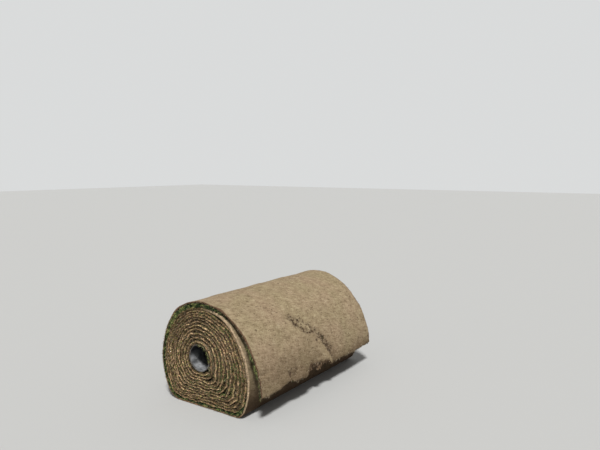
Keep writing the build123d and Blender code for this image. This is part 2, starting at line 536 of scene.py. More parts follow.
class StripGrid:
    """Flat grid that is wound into a closed piece of the strip.

    Its rows follow the strip and its columns go round the strip's section, which is a ring of places
    across it. Inside is 0 on the outer face and 1 on the inner face."""

    def __init__(self, name, ring, rows, first=0, last=0):
        columns = len(ring[0]) - 1
        deselect_all()
        bpy.ops.mesh.primitive_grid_add(
            x_subdivisions=columns, y_subdivisions=rows, size=2, location=(0, 0, 0)
        )
        self.piece = bpy.context.object
        self.piece.name = self.piece.data.name = name
        flat = np.empty(len(self.piece.data.vertices) * 3)
        self.piece.data.vertices.foreach_get("co", flat)
        flat = flat.reshape(-1, 3)
        column = np.rint((flat[:, 0] + 1) / 2 * columns).astype(int)
        self.row, self.rows = np.rint((flat[:, 1] + 1) / 2 * rows).astype(int), rows
        self.outermost = (self.row == 0) | (self.row == rows)
        self.along = first + self.row * (last - first) / rows
        self.across, self.inside, self.cut = (values[column] for values in ring)
        self.end = np.where(self.across < 0, -1, 1)  # which end of the roll is nearer

    def finished(self, points, turn, material, torn=0.0, shade_top=0.30, shade_scale=1.0, painted_light=0.0):
        """Puts the vertices in place, marks what the material reads and closes the piece."""
        mesh, height = self.piece.data, points[:, 2]
        mesh.vertices.foreach_set("co", points.ravel())
        # Painted shade: darker towards the ground; the scale and the painted light passed in take some
        # of it off.
        painted_shade = (1 - ramp(height, 0.05, shade_top)) * shade_scale
        painted_shade = np.maximum(painted_shade, 1 - ramp(height, 0.06, 0.27)) * (1 - 0.75 * painted_light)
        mark(mesh, "inside", self.inside)
        mark(mesh, "cut", self.cut)
        mark(mesh, "torn", np.zeros(len(points)) + torn)
        mark(mesh, "turn", turn)
        mark(mesh, "painted_shade", painted_shade)
        self.map_strip()
        self.close_up()
        return declared(self.piece, material)

    def map_strip(self):
        """UV map in metres: length along the strip and distance along the roll."""
        mesh = self.piece.data
        layer = mesh.uv_layers.active or mesh.uv_layers.new()
        layer.name = "strip"
        corner = np.empty(len(mesh.loops), int)
        mesh.loops.foreach_get("vertex_index", corner)
        uv = np.stack([self.along[corner], self.across[corner]], axis=1).astype(np.float32)
        layer.data.foreach_set("uv", uv.ravel())

    def close_up(self):
        """Closes the seam of the wound grid, fills its open ends and turns its faces outwards."""
        deselect_all()
        self.piece.select_set(True)
        bpy.context.view_layer.objects.active = self.piece
        bpy.ops.object.mode_set(mode="EDIT")
        bpy.ops.mesh.select_all(action="SELECT")
        bpy.ops.mesh.remove_doubles(threshold=1e-6)
        bpy.ops.mesh.select_all(action="DESELECT")
        bpy.ops.mesh.select_mode(type="EDGE")
        bpy.ops.mesh.select_non_manifold(
            extend=False,
            use_wire=False,
            use_multi_face=False,
            use_non_contiguous=False,
            use_verts=False,
        )
        bpy.ops.mesh.fill_holes(sides=0)
        bpy.ops.mesh.select_all(action="SELECT")
        bpy.ops.mesh.normals_make_consistent(inside=False)
        bpy.ops.object.mode_set(mode="OBJECT")
        bpy.ops.object.shade_smooth()


def end_relief(grid, depth, coarse, seed):
    """Unevenness of a cut end, along the roll. It is 0 away from the two ends."""
    x, fading = grid.across, 0.03
    own = grid.along + np.where(x < 0, 0.0, 50.0)
    relief = noises(own, depth, (0.0016, 0.016, 0.45, seed), (0.0012, 0.0075, 0.30, seed + 1))
    relief = relief + coarse * line_noise(own, 0.22, seed + 2)
    fade_near, fade_far = 1 - ramp(x, NEAR_END, NEAR_END + fading), ramp(x, FAR_END - fading, FAR_END)
    return relief * np.maximum(fade_near, fade_far)


def mat_relief(strip, along, across):
    """Height of the outer mat's broad waves and of its lumps."""
    swell = noises(along, across, (0.55, 0.21, 0.26, 41), (0.72, 0.075, 0.12, 42))
    lumps = noises(along, across, (0.55, 0.031, 0.048, 43), (0.45, 0.0135, 0.030, 44))
    return strip.swell * swell, strip.relief * lumps


def tight_turns(winding, material):
    """Tight turns, from the pipe to the crown below the skirt, as one closed wound strip."""
    strip, setback = winding.strip, 0.003
    near, far = NEAR_END + setback, FAR_END - setback
    rim, inner = 0.0045, 0.024
    columns = np.array([near + rim, near + inner, far - inner, far - rim])
    last = winding.length_at(winding.last_turn - 1)
    rows = round(last / strip.turn_step)
    grid = StripGrid("tight_turns", ring_of(near, far, columns, columns, 8), rows, 0, last)
    inside, is_cut = grid.inside, grid.cut
    place, normal, turn, layer = winding.tight(grid.along)
    own = grid.along + np.where(grid.across < 0, 0.0, 40.0)  # so that the ends differ
    share = strip.sod_share + 0.14 * noise(own, turn, 0.026, 0.8, 21)
    sod = layer * np.where(turn < 1.4, 0.62, share)
    outer_lift = layer * 0.11 * noise(own, turn, 0.016, 0.8, 23)
    gnarl = layer * 0.11 * noise(own, inside, 0.0105, 0.33, 22) * is_cut
    over_rim = 0.0060 * is_cut * inside * (1 - ramp(turn, 1.25, 1.45))
    sunk = inside * sod - outer_lift * (1 - inside) + gnarl + over_rim
    crest = 0.0040 * bell(inside - 0.24, 0.20) - 0.0030 * ramp(inside, 0.65, 1.0)
    crest = (crest + 0.0028 * noise(own, inside, 0.0068, 0.22, 24)) * is_cut
    across = grid.across + grid.end * (end_relief(grid, inside, 0.0035, 31) + crest)
    points = winding.in_frame(across, place - scaled(normal, sunk))
    return grid.finished(points, turn, material)


def covered_turn(winding, material):
    """Half turn that the skirt hangs over, down to the middle of the flat on the ground."""
    strip, last_turn = winding.strip, winding.last_turn
    rim = 0.008
    outer_columns, inner_columns = (np.linspace(NEAR_END + rim, FAR_END - rim, n) for n in (130, 12))
    first = winding.length_at(last_turn - 1)
    last = winding.length_at(last_turn - 0.5) + 0.22
    ring = ring_of(NEAR_END, FAR_END, outer_columns, inner_columns, 4)
    grid = StripGrid("covered_turn", ring, round((last - first) / 0.0075), first, last)
    along, inside = grid.along, grid.inside
    place, normal, turn = winding.at(along)
    swell, lumps = mat_relief(strip, along, grid.across)
    lift = (0.4 * swell + lumps) * (1 - ramp(-normal[:, 1], 0.55, 0.95)) * (1 - inside)
    sod = strip.sod * (1 + 0.16 * line_noise(along, 0.05, 51))
    sod = sod * (1 + 0.65 * (1 - ramp(turn, last_turn - 0.8, last_turn - 0.6)))
    joined = 1 - ramp(turn, last_turn - 1, last_turn - 0.9)
    lift = lift - joined * winding.room(normal)
    across = grid.across + grid.end * (end_relief(grid, inside, 0.003, 52) - 0.003 * joined)
    points = winding.in_frame(across, place + scaled(normal, lift - inside * sod))
    from_end = np.minimum(points[:, 0] - NEAR_END, FAR_END - points[:, 0])
    # Painted light near the ends: less painted shade where light reaches in under the skirt.
    shade_scale = 0.10 + 0.90 * ramp(from_end, 0.03, 0.22)
    return grid.finished(points, turn, material, shade_top=0.52, shade_scale=shade_scale)


def edge_length(winding, across):
    """Length along the strip at which the loose edge ends, by the place along the roll."""
    strip, from_near = winding.strip, across - NEAR_END
    ragged = strip.ragged * (
        0.55 * line_noise(across, 0.075, 61)
        + 0.30 * np.sign(line_noise(across, 0.045, 62))
        + 0.35 * line_noise(across, 0.016, 63)
    )
    longer = np.interp(from_near, *EDGE_LINE.T)
    start, stop, slope = strip.tear_start, strip.tear_start + strip.tear_length, strip.tear_slope
    within = np.minimum(
        ramp(from_near, start, start + slope), 1 - ramp(from_near, stop - slope, stop)
    )
    passed = np.clip((from_near - start) / strip.tear_length, 0, 1)
    height = strip.tear_near + (strip.tear_far - strip.tear_near) * passed
    return winding.end + ragged + longer - within * height


def crack(winding, along, across):
    """How cracked the mat is, with painted shade beside the fold along its lower part, how far a place
    lies from the crack (more than 0 on its near side) and which share of the crack lies beside it."""
    corners = np.stack([CRACK_LINE[:, 0] + NEAR_END, winding.skirt_length(CRACK_LINE[:, 1])], axis=1)
    distance = np.full(np.shape(along), 9.0)
    side, share = np.zeros(np.shape(along)), np.zeros(np.shape(along))
    for k, (start, stop) in enumerate(zip(corners, corners[1:])):
        run = stop - start
        offset_x, offset_s = across - start[0], along - start[1]
        t = np.clip((offset_x * run[0] + offset_s * run[1]) / (run @ run), 0, 1)
        gap_x, gap_s = offset_x - t * run[0], offset_s - t * run[1]
        gap = np.hypot(gap_x, gap_s)
        nearer = gap < distance
        distance = np.where(nearer, gap, distance)
        side = np.where(nearer, np.sign(run[0] * gap_s - run[1] * gap_x), side)
        share = np.where(nearer, (k + t) / (len(corners) - 1), share)
    offset = side * distance
    # Two branches in its middle, and below them one on the far side, which paints the shade of the
    # hollow beside the fold
    spread = 0.024 * ramp(share, 0.22, 0.34) * (1 - ramp(share, 0.48, 0.62))
    spread = spread - 0.028 * ramp(share, 0.60, 0.72)
    width = 0.018 + 0.014 * ramp(share, 0.55, 0.72)
    strength = 0.25 * ramp(share, 0.02, 0.12) + 0.75 * ramp(share, 0.24, 0.30)
    strength = strength + 0.35 * ramp(share, 0.58, 0.70) - 0.95 * ramp(share, 0.84, 0.96)
    branches = np.minimum(bell(offset - spread, width) + 0.9 * bell(offset + spread, width), 1.0)
    far_alone = 1 - ramp(share, 0.60, 0.72) * (offset > 0.004)
    return branches * strength * far_alone, offset, share


def skirt_relief(winding, along, across, hold=1.0):
    """Fold of the last turn beside its crack, relief of its mat with the pits, and how torn it is, with
    painted shade in the hollow beside the fold.
    """
    swell, lumps = mat_relief(winding.strip, along, across)
    band, offset, share = crack(winding, along, across)
    pits = noises(along, across, (1.0, 0.014, 0.017, 71), (0.6, 0.030, 0.030, 72))
    pits = ramp(pits, -0.25, 0.5)
    patch_x, patch_height = PIT_PATCH
    patch_along = along - winding.skirt_length(patch_height)
    patch = 1 - ramp(np.hypot(patch_along, 0.6 * (across - NEAR_END - patch_x)), 0.019, 0.037)
    torn = 0.86 * np.clip(band * (0.45 + 0.65 * pits) + patch * (0.45 + 0.7 * pits), 0, 1)
    far_side = (1 - 1.5 * ramp(-offset, 0.0, 0.045)) * bell(offset, 0.08)
    step = 0.0065 * ramp(share, 0.30, 0.65) * np.where(offset > 0, bell(offset, 0.05), far_side)
    lip = 0.0040 * ramp(share, 0.58, 0.70) * bell(offset - 0.006, 0.006)
    kink = -0.0045 * bell(along - winding.skirt_length(KINK_HEIGHT), 0.009)
    kink = kink * (1 - ramp(across, NEAR_END + 0.05, NEAR_END + 0.15))
    relief = (swell + lumps) * hold - 0.0085 * torn * pits - 0.0015 * band
    return step + lip + kink, relief, torn


def painted_light_places(winding, grid, points, turn):
    """Where painted light takes some of the painted shade off the skirt: its far side, the near side of
    the crack and its near corner."""
    height = points[:, 2]
    _, offset, share = crack(winding, grid.along, grid.across)
    beside = ramp(share, 0.52, 0.72) * ramp(offset, 0.002, 0.010) * bell(offset, 0.085)
    far_side = ramp(points[:, 0], 0.06, 0.22) * ramp(height, 0.14, 0.24) * ramp(height, 0.46, 0.33)
    corner = 0.15 + 0.55 * ramp(grid.across, NEAR_END + 0.24, NEAR_END + 0.08)
    above_edge = corner * ramp(height, 0.26, 0.17) * (turn > winding.last_turn)
    return np.maximum(np.maximum(far_side, above_edge), beside)


def loose_end(winding, material):
    """Last turn from the flat over the crown to the torn edge of the skirt."""
    strip, last_turn, rim = winding.strip, winding.last_turn, 0.0066
    columns = np.linspace(NEAR_END + rim, FAR_END - rim, round(1.2 / strip.mat_step) - 10)
    first, last = winding.length_at(last_turn - 0.5) + 0.21, winding.end
    rows = round((last - first) / strip.mat_step)
    ring = ring_of(NEAR_END, FAR_END, columns, columns, 3)
    grid = StripGrid("loose_end", ring, rows, first, last)
    across, inside = grid.across, grid.inside
    # Below this length the rows are drawn out or pushed together, to end at the torn edge
    fixed = winding.skirt_length(0.40)
    end, along = edge_length(winding, across), grid.along
    fitted = fixed + (along - fixed) * (end - fixed) / (last - fixed)
    grid.along = along = np.where(along > fixed, fitted, along)
    place, normal, turn = winding.at(along)
    hold = 1 - ramp(-normal[:, 1], 0.75, 0.97)
    fold, relief, torn = skirt_relief(winding, along, across, hold)
    sod = strip.sod * (1 + 0.12 * noise(along, across, 0.06, 0.06, 73))
    closing = np.where(grid.outermost, 0.5, inside)
    lag = 1 - ramp(end - along, 0.0, 0.012)
    sunk = (closing + (0.5 - closing) * 0.45 * lag) * sod
    place = place + scaled(normal, fold + relief * (1 - closing) - sunk)
    rounded = np.clip(across, NEAR_END + END_ROUNDING, FAR_END - END_ROUNDING)
    x = np.where(grid.outermost, rounded, across) + grid.end * end_relief(grid, closing, 0.003, 74)
    points = winding.in_frame(x, place)
    edge_cut = lag * ramp(turn, last_turn + 0.1, last_turn + 0.2)
    grid.cut = np.maximum(grid.cut, 0.8 * edge_cut * (closing > 0))
    # Painted light on parts of the skirt, which lessens its painted shade.
    painted_light = painted_light_places(winding, grid, points, turn)
    return grid.finished(points, turn, material, torn, shade_top=0.44, painted_light=painted_light)


def tear_soil(winding, material):
    """Thin torn layer of soil and roots that is left in the tear, below the end of the mat."""
    near = NEAR_END + winding.strip.tear_start - 0.004
    far = NEAR_END + winding.strip.tear_start + winding.strip.tear_length + 0.012
    count, rows = 76, 14
    columns = np.linspace(near, far, count)
    x = np.concatenate([columns, columns[::-1], columns[:1]])
    depth = np.repeat([0.0, 1.0, 0.0], [count, count, 1])
    grid = StripGrid("tear_soil", (x, depth, np.zeros(len(x))), rows)
    across, passed = grid.across, grid.row / grid.rows
    top = edge_length(winding, across)
    drop = (winding.end - top) * (0.62 + 0.34 * line_noise(across, 0.020, 91))
    drop = drop + 0.012 * line_noise(across, 0.007, 92)
    start, stop = top - 0.014, np.maximum(top + drop, top + 0.001)
    grid.along = along = start + (stop - start) * grid.row / grid.rows
    place, normal, turn = winding.at(along)
    rough = noises(along, across, (0.0065, 0.011, 0.012, 93), (0.0025, 0.005, 0.005, 94))
    curl = 0.010 * ramp(passed, 0.3, 1.0) * line_noise(across, 0.045, 95)
    middle = (across - near) / (far - near)
    closing = np.where(grid.outermost | (middle < 0.004) | (middle > 0.996), 0.5, grid.inside)
    sunk = 0.0045 + closing * 0.0062 + rough * (1 - closing) + curl
    grid.inside = 0 * grid.inside
    points = winding.in_frame(across, place - scaled(normal, sunk))
    return grid.finished(points, turn, material, torn=1.0)


# Many small things


def template_of(add):
    """Vertices and faces of a small shape that is modelled once, in a space of one metre."""
    deselect_all()
    add()
    piece = bpy.context.object
    mesh = piece.data
    vertices = np.array([v.co for v in mesh.vertices])
    faces = [tuple(f.vertices) for f in mesh.polygons]
    bpy.data.objects.remove(piece)
    bpy.data.meshes.remove(mesh)
    return vertices, faces


def add_blade():
    """Blade from 0 to 1 along z, three-sided, widest at its middle and closed at both ends."""
    bpy.ops.mesh.primitive_circle_add(vertices=3, radius=0.38, fill_type="NGON")
    bpy.ops.object.mode_set(mode="EDIT")
    bpy.ops.mesh.extrude_region_move(TRANSFORM_OT_translate={"value": (0, 0, 0.52)})
    bpy.ops.transform.resize(value=(1.3, 1.3, 1))
    bpy.ops.mesh.extrude_region_move(TRANSFORM_OT_translate={"value": (0, 0, 0.48)})
    bpy.ops.mesh.merge(type="COLLAPSE")
    bpy.ops.mesh.select_all(action="SELECT")
    bpy.ops.mesh.select_non_manifold(extend=False)
    bpy.ops.mesh.edge_face_add()
    bpy.ops.mesh.select_all(action="SELECT")
    bpy.ops.mesh.normals_make_consistent(inside=False)
    bpy.ops.object.mode_set(mode="OBJECT")


def add_crumb():
    """Lump of soil of about one metre."""
    bpy.ops.mesh.primitive_ico_sphere_add(subdivisions=1, radius=0.5)


def joined_copies(name, points, faces, marks, material, smooth):
    """One mesh of many copies of a small shape, from the places of each copy's vertices."""
    copies, count = points.shape[:2]
    joined = [tuple(i + n * count for i in face) for n in range(copies) for face in faces]
    mesh = bpy.data.meshes.new(name)
    mesh.from_pydata(points.reshape(-1, 3), [], joined)
    mesh.polygons.foreach_set("use_smooth", np.full(len(joined), smooth))
    for key, values in marks.items():
        mark(mesh, key, values)
    piece = bpy.data.objects.new(name, mesh)
    bpy.context.scene.collection.objects.link(piece)
    return declared(piece, material)


def scatter_strands(name, material, roots, heading, length, droop, width, flat, tone):
    """Blades or fibres that start at their roots, run along their heading and droop."""
    vertices, faces = template_of(add_blade)
    ground = 0.0004
    side = unit(np.cross(heading, np.random.default_rng(len(roots)).normal(size=roots.shape)))
    up = np.cross(heading, side)
    x, y, z = (vertices[None, :, k : k + 1] for k in range(3))
    length, wide, high = (values[:, None, None] for values in (length, width, width * flat))
    points = (
        roots[:, None]
        + heading[:, None] * z * length
        + side[:, None] * x * wide
        + up[:, None] * y * high
        + droop[:, None] * (z**2) * length
    )
    points[..., 2] = np.maximum(points[..., 2], ground)
    marks = {"tone": np.repeat(tone, len(vertices)), "tip": np.tile(vertices[:, 2], len(roots))}
    return joined_copies(name, points, faces, marks, material, smooth=True)


class Draws:
    """Random draws, one for each of a number of small things."""

    def __init__(self, seed, count=0):
        self.source, self.count = np.random.default_rng(seed), count

    def between(self, low, high, *more):
        return self.source.uniform(low, high, (self.count, *more))

    def around(self, middle, spread):
        return self.source.normal(middle, spread, self.count)

    def shares(self):
        return self.source.random(self.count)

    def spiral_spots(self, winding, most, first, last, weight):
        """Random lengths along the strip between two turns, kept by a weight of normal, turn and
        length. There are as many draws as lengths from then on."""
        self.count = most * 4
        spots = self.between(winding.length_at(first), winding.length_at(last))
        _, normal, turn = winding.at(spots)
        spots = spots[self.shares() < weight(normal, turn, spots)][:most]
        self.count = len(spots)
        return spots


def axes_at(normal):
    """Outward direction and direction along the strip, in the frame of the part."""
    nothing = np.zeros(len(normal))
    outward = np.stack([nothing, normal[:, 0], normal[:, 1]], axis=1)
    along = np.stack([nothing, -normal[:, 1], normal[:, 0]], axis=1)
    return outward, along


def end_roots(winding, end, behind, place):
    """Roots behind one end of the roll, where -1 is the near end and 1 the far end."""
    return winding.in_frame((NEAR_END if end < 0 else FAR_END) - end * behind, place)


def end_heading(end, normal, out, along, inwards):
    """Headings at one end: how far they point out of it, along the strip and inwards."""
    outward, forward = axes_at(normal)
    return unit(scaled(ALONG_ROLL * end, out) + scaled(forward, along) - scaled(outward, inwards))


def ring_grass(winding, material, end, name):
    """Blades in the gap inside the last turn, at one end of the roll."""
    draws, sod, last_turn = Draws(100 + end), winding.strip.sod, winding.last_turn

    def weight(normal, turn, spots):
        high = (turn > last_turn - 0.4) * ramp(normal[:, 1], -0.2, 0.5)
        high = high * (1 - ramp(turn, last_turn, last_turn + 0.07))
        low = 0.60 * ramp(-normal[:, 1], 0.2, 0.9)
        behind = 0.55 * ramp(normal[:, 0], 0.5, 0.9)
        corner = 0.9 * ramp(-normal[:, 0], 0.2, 0.6) * ramp(-normal[:, 1], 0.1, 0.6)
        covered = 0.03 * (turn < last_turn - 0.7)
        skirt = 0.50 * ramp(turn, last_turn + 0.13, last_turn + 0.17)
        clumps = ramp(line_noise(spots, 0.008, 82 + end), -0.35, 0.30)
        return np.clip((high + low + behind + corner + covered + skirt) * clumps, 0, 1)

    most = winding.growth.ring_blades
    spots = draws.spiral_spots(winding, most, last_turn - 1, last_turn + 0.25, weight)
    place, normal, turn = winding.at(spots)
    room = winding.layer(normal) + winding.room(normal) - sod
    under_skirt = 0.022 - 0.010 * ramp(turn, last_turn, last_turn + 0.09)
    room = np.where(turn > last_turn, under_skirt, room)
    corner = ramp(-normal[:, 0], 0.15, 0.5) * ramp(-normal[:, 1], 0.25, 0.6)
    depth = sod + (0.08 + 0.84 * draws.shares()) * (room + 0.016 * corner)
    behind = draws.between(0.006, 0.022) * (1 - 0.75 * corner)
    tuft = ramp(noise(spots, depth, 0.010, 0.009, 86 + end), -0.05, 0.30)
    return scatter_strands(
        name,
        material,
        roots=end_roots(winding, end, behind, place - scaled(normal, depth)),
        heading=end_heading(
            end, normal, draws.between(0.55, 1.3), draws.around(0, 0.75), draws.around(0.0, 0.16)
        ),
        length=draws.between(0.011, 0.023) * (1 + 0.35 * ramp(normal[:, 1], 0.3, 0.8)),
        droop=scaled(DOWN, draws.between(0.0, 0.30)),
        width=draws.between(0.0022, 0.0044),
        flat=0.28,
        tone=np.clip(0.12 + 0.50 * tuft + draws.around(0.0, 0.14), 0, 1),
    )


def sod_grass(winding, material, end, name):
    """Green specks between the tight turns, and blades that hang over the bore."""
    draws, hanging = Draws(110 + end), winding.growth.bore_blades

    def weight(normal, turn, spots):
        patches = ramp(noise(spots, turn, 0.055, 0.9, 84 + end), -0.15, 0.8)
        sides = 0.22 + 0.78 * ramp(-normal[:, 0], -0.5, 0.7)
        return patches * sides * ramp(turn, 0.9, 5.0)

    most = winding.growth.sod_blades
    spots = draws.spiral_spots(winding, most, 0.6, winding.last_turn - 1, weight)
    spots = np.concatenate([spots, draws.source.uniform(0.0, 0.45, hanging)])
    draws.count = len(spots)
    over_bore = np.arange(len(spots)) >= len(spots) - hanging
    spots = np.where(over_bore, winding.length_at(1.0) + draws.between(-0.02, 0.30), spots)
    place, normal, turn, layer = winding.tight(spots)
    deep = np.where(over_bore, draws.between(0.75, 1.05), draws.between(0.70, 1.0))
    place = place - scaled(normal, layer * deep)
    return scatter_strands(
        name,
        material,
        roots=end_roots(winding, end, draws.between(0.002, 0.013), place),
        heading=end_heading(
            end,
            normal,
            draws.between(0.35, 1.1),
            draws.around(0, 0.8),
            np.where(over_bore, draws.between(0.5, 1.6), draws.around(0, 0.3)),
        ),
        length=draws.between(0.008, 0.017),
        droop=scaled(DOWN, draws.between(0.05, 0.4)),
        width=draws.between(0.0020, 0.0038),
        flat=0.28,
        tone=np.clip(draws.around(0.48, 0.24) + 0.16 * over_bore, 0, 1),
    )


def end_thatch(winding, material, end, name):
    """Short roots and dead stems that stick out of the cut ends of the strip."""
    draws, strip = Draws(130 + end, winding.growth.thatch), winding.strip
    low, high = winding.length_at(0.5), winding.end
    spots = low + (high - low) * draws.shares() ** 0.94
    outer = spots > winding.length_at(winding.last_turn - 1)
    tight_place, _, _, layer = winding.tight(np.minimum(spots, winding.root))
    place, normal, _ = winding.at(spots)
    place = np.where(outer[:, None], place, tight_place)
    in_gap = draws.shares() < 0.42
    share = np.where(in_gap, draws.between(strip.sod_share - 0.04, 1.04), draws.shares())
    depth = np.where(outer, draws.between(0.25, 1.1) * strip.sod, share * layer)
    behind = np.where(in_gap & ~outer, draws.between(0.003, 0.013), draws.between(0.000, 0.006))
    return scatter_strands(
        name,
        material,
        roots=end_roots(winding, end, behind, place - scaled(normal, depth)),
        heading=end_heading(
            end, normal, draws.between(0.10, 0.75), draws.around(0, 1.0), draws.around(0, 0.42)
        ),
        length=draws.between(0.006, 0.017),
        droop=scaled(DOWN, draws.between(0.0, 0.3)),
        width=draws.between(0.0008, 0.0020) * np.where(in_gap, 1.5, 1.0),
        flat=0.6,
        tone=np.clip(draws.around(0.42, 0.24) - 0.20 * in_gap, 0, 1),
    )


def skirt_grass(winding, material):
    """Grass of the skirt's inner face, thickest along its edge and at its ends."""
    draws = Draws(120, winding.growth.skirt_blades)
    along_edge = np.arange(draws.count) < winding.growth.edge_blades
    across = draws.between(NEAR_END + 0.004, FAR_END - 0.004)
    near, far = NEAR_END + draws.between(0.003, 0.05), FAR_END - draws.between(0.003, 0.05)
    across = np.where(along_edge, across, np.where(draws.shares() < 0.6, near, far))
    rise = np.where(along_edge, draws.between(0.004, 0.075), draws.between(0.004, 0.30))
    spots = edge_length(winding, across) - rise
    place, normal, _ = winding.at(spots)
    fold, _, _ = skirt_relief(winding, spots, across)
    place = place + scaled(normal, fold - winding.strip.sod * 0.85 - draws.shares() * 0.003)
    outward, along = axes_at(normal)
    return scatter_strands(
        "grass_under_skirt",
        material,
        roots=winding.in_frame(across, place),
        heading=unit(
            scaled(-outward, draws.between(0.15, 0.60))
            + scaled(along, draws.between(0.2, 1.0))
            + scaled(ALONG_ROLL, draws.around(0, 0.5))
        ),
        length=draws.between(0.010, 0.019),
        droop=scaled(DOWN, draws.between(0.0, 0.2)),
        width=draws.between(0.0016, 0.0030),
        flat=0.28,
        tone=np.clip(draws.around(0.30, 0.20) - 0.12 * along_edge, 0, 1),
    )


def mat_fibres(winding, material):
    """Root fibres that lie on the outer mat and hang from its torn edge."""
    draws, tuft_x = Draws(140, winding.growth.fibres), NEAR_END + 0.064
    low = winding.length_at(winding.last_turn - 0.5) + 0.40
    across = draws.between(NEAR_END + 0.004, FAR_END - 0.004)
    end = edge_length(winding, across)
    spots = low + draws.shares() ** 0.8 * (end - low)
    at_edge = draws.shares() < 0.05
    in_tuft = np.arange(draws.count) < winding.growth.tuft_fibres
    across = np.where(in_tuft, tuft_x + draws.around(0, 0.004), across)
    at_edge = at_edge | in_tuft
    spots = np.where(at_edge, edge_length(winding, across) - draws.between(0.002, 0.012), spots)
    place, normal, _ = winding.at(spots)
    fold, relief, _ = skirt_relief(winding, spots, across)
    sunk = np.where(at_edge, draws.shares() * winding.strip.sod, 0.0007)
    outward, along = axes_at(normal)
    angle = draws.between(0, 2 * pi)
    level = scaled(along, np.sin(angle)) + scaled(ALONG_ROLL, np.cos(angle))
    rise = np.where(at_edge, 0.0, draws.between(0.0, 0.20))
    hang = np.where(at_edge, draws.between(0.2, 1.2) + 2.0 * in_tuft, 0)
    return scatter_strands(
        "root_fibres",
        material,
        roots=winding.in_frame(across, place + scaled(normal, fold + relief - sunk)),
        heading=unit(level + scaled(outward, rise) + scaled(DOWN, hang)),
        length=draws.between(0.008, 0.024) * np.where(at_edge & ~in_tuft, 0.55, 1.0),
        droop=scaled(-outward, rise * draws.between(0.8, 1.3)),
        width=draws.between(0.0007, 0.0021),
        flat=0.8,
        tone=np.clip(draws.around(0.58, 0.27) - 0.25 * at_edge + 0.5 * in_tuft, 0, 1),
    )


def soil_crumbs(winding, material):
    """Crumbs of torn soil in the crack and along the tear."""
    vertices, faces = template_of(add_crumb)
    draws = Draws(160, winding.growth.crumbs)
    across = NEAR_END + draws.between(0.25, 0.74)
    top = winding.skirt_length(0.60)
    spots = top + draws.shares() * (edge_length(winding, across) - top)
    band, _, _ = crack(winding, spots, across)
    in_tear = draws.shares() < 0.30
    across = np.where(in_tear, NEAR_END + draws.between(0.43, 0.69), across)
    spots = np.where(in_tear, edge_length(winding, across) - draws.between(-0.004, 0.012), spots)
    kept = in_tear | (draws.shares() < band)
    across, spots, in_tear = across[kept], spots[kept], in_tear[kept]
    draws.count = len(spots)
    place, normal, _ = winding.at(spots)
    fold, relief, _ = skirt_relief(winding, spots, across)
    sunk = np.where(in_tear, draws.shares() * winding.strip.sod, 0.0015)
    centre = winding.in_frame(across, place + scaled(normal, fold + relief - sunk))
    size, stretch = draws.between(0.002, 0.0065), draws.between(0.6, 1.3, 1, 3)
    rough = 1 + draws.between(-0.25, 0.25, len(vertices), 1)
    points = centre[:, None] + vertices[None] * size[:, None, None] * stretch * rough
    marks = {"tone": np.repeat(draws.shares(), len(vertices))}
    return joined_copies("soil_crumbs", points, faces, marks, material, smooth=False)


# Materials


class Nodes:
    """Node tree that is put together by code."""

    def __init__(self, tree):
        self.nodes, self.links = tree.nodes, tree.links

    def feed(self, socket, value):
        """Links a socket to an output, or sets it to a constant."""
        if isinstance(value, bpy.types.NodeSocket):
            self.links.new(value, socket)
        elif socket.type == "RGBA" and len(value) == 3:
            socket.default_value = (*value, 1)
        else:
            socket.default_value = value

    def add(self, kind, inputs=(), **settings):
        """Adds a node with its settings and feeds its inputs. Returns its first output in use."""
        node = self.nodes.new(kind)
        for key, value in settings.items():
            setattr(node, key, value)
        for key, value in dict(inputs).items():
            self.feed(node.inputs[key], value)
        return next(output for output in node.outputs if output.enabled)

    def math(self, operation, first, second=0.0):
        return self.add("ShaderNodeMath", {0: first, 1: second}, operation=operation)

    def times(self, first, second):
        return self.math("MULTIPLY", first, second)

    def weighed(self, *terms):
        """Sum of values, each given with its weight."""
        total, *others = [self.times(value, weight) for value, weight in terms]
        for other in others:
            total = self.math("ADD", total, other)
        return total

    def span(self, value, low, high, to_low=0.0, to_high=1.0):
        """Straight step between two values, which is held beyond them."""
        return self.add(
            "ShaderNodeMapRange",
            {"Value": value, "From Min": low, "From Max": high, "To Min": to_low, "To Max": to_high},
        )

    def blend(self, share, first, second, way="MIX"):
        """Mixes two colours."""
        node = self.nodes.new("ShaderNodeMix")
        node.data_type, node.blend_type = "RGBA", way
        for socket, value in ((0, share), (6, first), (7, second)):  # 6 and 7 are its colours
            self.feed(node.inputs[socket], value)
        return node.outputs[2]

    def tinted(self, tint, by, share=1.0):
        return self.blend(share, tint, by, "MULTIPLY")

    def ramp(self, value, stops):
        node = self.nodes.new("ShaderNodeValToRGB")
        band = node.color_ramp
        band.elements[0].position, band.elements[-1].position = stops[0][0], stops[-1][0]
        for position, _ in stops[1:-1]:
            band.elements.new(position)
        for element, (_, tint) in zip(band.elements, stops):
            element.color = (*tint, 1)
        self.links.new(value, node.inputs[0])
        return node.outputs[0]


